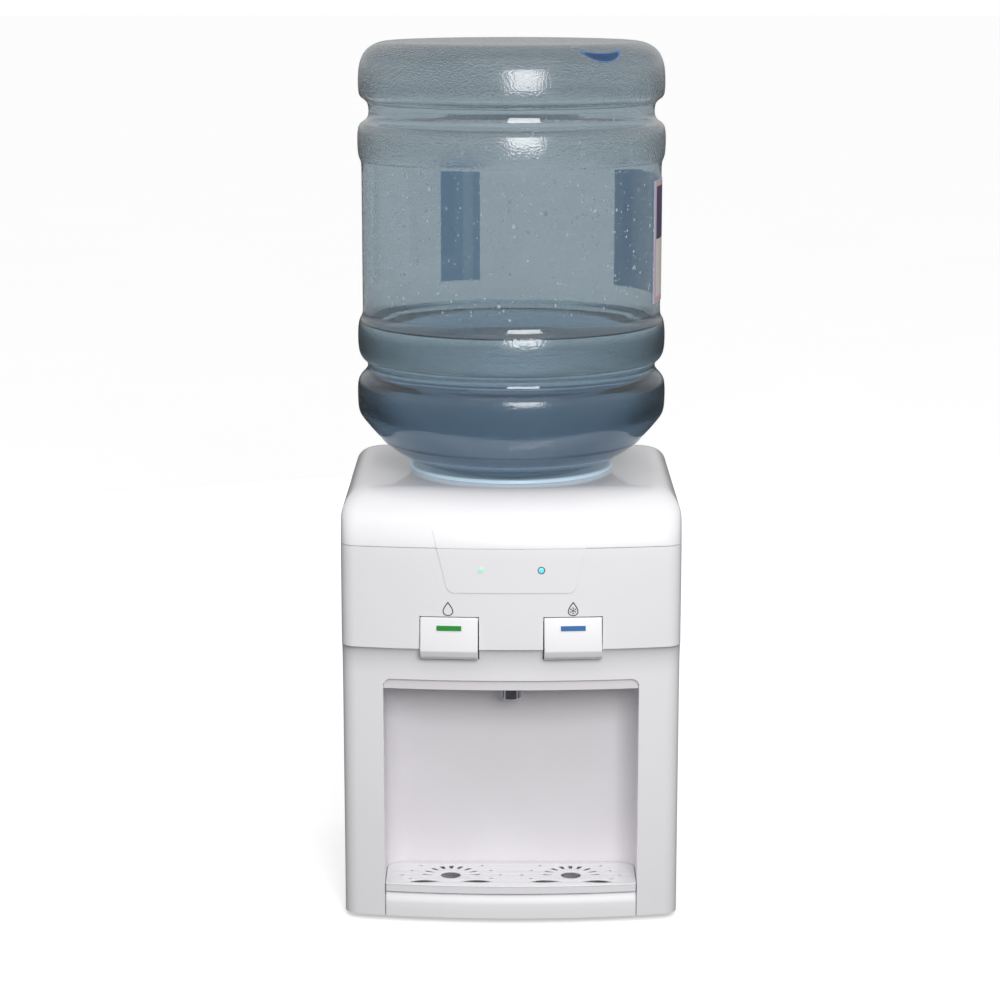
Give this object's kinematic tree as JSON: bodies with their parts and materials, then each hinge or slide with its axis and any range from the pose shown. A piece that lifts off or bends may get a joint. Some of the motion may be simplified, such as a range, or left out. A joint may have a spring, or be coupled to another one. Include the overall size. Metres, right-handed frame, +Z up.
{
  "type": "countertop water dispenser",
  "caption": "Countertop water dispenser with an upturned large bottle, push buttons, a shared spout in a cup recess and a removable drip tray.",
  "frame": {"origin": "on the table under the middle of the body, below the bottle's axis", "axes": "+Z up along the bottle, -Y towards the person who fills a cup, +X to their right"},
  "size_m": [0.3, 0.3102, 0.7794],
  "materials": {
    "white_abs": "moulded ABS, low gloss white",
    "liner_abs": "moulded ABS, satin pale grey",
    "rubber": "moulded rubber",
    "pale_blue_pp": "moulded polypropylene, pale blue",
    "bottle_pc": "blown polycarbonate, clear blue tint",
    "cap_blue": "moulded polyethylene, blue",
    "label_film": "printed film",
    "back_label_film": "printed film",
    "chrome": "chromed plastic",
    "stainless": "drawn stainless steel",
    "aluminium": "extruded aluminium",
    "silicone": "translucent silicone",
    "foam": "closed-cell foam",
    "black_abs": "moulded ABS, black",
    "inner_white": "moulded polypropylene, white",
    "circuit_board": "solder-masked glass fibre",
    "ceramic": "alumina ceramic",
    "green_insert": "moulded green insert",
    "blue_insert": "moulded blue insert",
    "green_lens": "lit green lamp lens",
    "cyan_lens": "lit cyan lamp lens",
    "red_abs": "moulded ABS, red"
  },
  "bodies": {
    "root": {"base_plate": "inner_white", "foot_front_left": "rubber", "foot_front_right": "rubber", "foot_rear_left": "rubber", "foot_rear_right": "rubber", "front_shell": "white_abs", "left_side_panel": "white_abs", "right_side_panel": "white_abs", "rear_panel": "white_abs", "top_cover": "white_abs", "recess_liner": "liner_abs", "spout_nozzle": "chrome", "led_board": "circuit_board", "led_power": "green_lens", "led_cold": "cyan_lens", "bottle_collar": "pale_blue_pp", "tank": "stainless", "tank_gasket": "silicone", "tank_lid": "inner_white", "feed_probe": "pale_blue_pp", "baffle": "inner_white", "insulation_jacket": "foam", "cold_feed_tube": "silicone", "ambient_feed_tube": "silicone", "drain_tube": "silicone", "drain_spout": "inner_white", "cold_block": "aluminium", "peltier_module": "ceramic", "heat_sink": "aluminium", "fan_frame": "black_abs", "control_board": "circuit_board", "power_supply": "stainless", "power_inlet": "black_abs", "switch_housing": "black_abs", "valve_body_ambient": "inner_white", "return_spring_ambient": "stainless", "ambient_outlet_tube": "silicone", "valve_body_cold": "inner_white", "return_spring_cold": "stainless", "cold_outlet_tube": "silicone", "rear_screw_1": "stainless", "rear_screw_2": "stainless", "rear_screw_3": "stainless", "rear_screw_4": "stainless"},
    "bottle": {"bottle": "bottle_pc", "bottle_cap": "cap_blue", "bottle_label": "label_film", "bottle_back_label": "back_label_film"},
    "ambient_button": {"button_ambient": "white_abs", "marker_ambient": "green_insert"},
    "cold_button": {"button_cold": "white_abs", "marker_cold": "blue_insert"},
    "ambient_stem": {"valve_stem_ambient": "stainless"},
    "cold_stem": {"valve_stem_cold": "stainless"},
    "tray": {"drip_tray": "white_abs"},
    "grille": {"drip_grille": "white_abs"},
    "fan": {"fan_rotor": "black_abs"},
    "rocker": {"switch_rocker": "red_abs"},
    "seal": {"drain_seal": "rubber"},
    "cap": {"drain_cap": "white_abs"}
  },
  "joints": [
    {"name": "bottle_lift", "type": "slide", "parent": "root", "child": "bottle", "axis": [0, 0, 1], "range_m": [0, 0.12]},
    {"name": "ambient_button_press", "type": "hinge", "parent": "root", "child": "ambient_button", "pos_m": [-0.05387, -0.1417, 0.283], "axis": [0.9978, -0.0669, 0], "range_deg": [0, 8], "stiffness_Nm_per_rad": 0.4, "springref_deg": -8.59},
    {"name": "ambient_stem_lift", "type": "slide", "parent": "root", "child": "ambient_stem", "axis": [0, 0, 1], "range_m": [0, 0.0036], "deforming": ["return_spring_ambient"]},
    {"name": "cold_button_press", "type": "hinge", "parent": "root", "child": "cold_button", "pos_m": [0.05387, -0.1417, 0.283], "axis": [0.9978, 0.0669, 0], "range_deg": [0, 8], "stiffness_Nm_per_rad": 0.4, "springref_deg": -8.59},
    {"name": "cold_stem_lift", "type": "slide", "parent": "root", "child": "cold_stem", "axis": [0, 0, 1], "range_m": [0, 0.0036], "deforming": ["return_spring_cold"]},
    {"name": "drip_tray_slide", "type": "slide", "parent": "root", "child": "tray", "axis": [0, -1, 0], "range_m": [0, 0.09]},
    {"name": "drip_grille_lift", "type": "slide", "parent": "tray", "child": "grille", "axis": [0, 0, 1], "range_m": [0, 0.04]},
    {"name": "fan_spin", "type": "hinge", "parent": "root", "child": "fan", "pos_m": [0, 0.12, 0.235], "axis": [0, 1, 0], "continuous": true},
    {"name": "power_switch", "type": "hinge", "parent": "root", "child": "rocker", "pos_m": [-0.07, 0.146, 0.086], "axis": [1, 0, 0], "range_deg": [-18, 0]},
    {"name": "drain_seal_slide", "type": "slide", "parent": "root", "child": "seal", "axis": [0, 1, 0], "range_m": [0, 0.0076]},
    {"name": "drain_cap_turn", "type": "hinge", "parent": "seal", "child": "cap", "pos_m": [0, 0.15, 0.03], "axis": [0, 1, 0], "range_deg": [0, 1080]}
  ],
  "couplings": [
    {"joint": "ambient_stem_lift", "follows": "ambient_button_press", "m_per_rad": 0.025},
    {"joint": "cold_stem_lift", "follows": "cold_button_press", "m_per_rad": 0.025},
    {"joint": "drain_seal_slide", "follows": "drain_cap_turn", "m_per_rad": 0.000398}
  ]
}
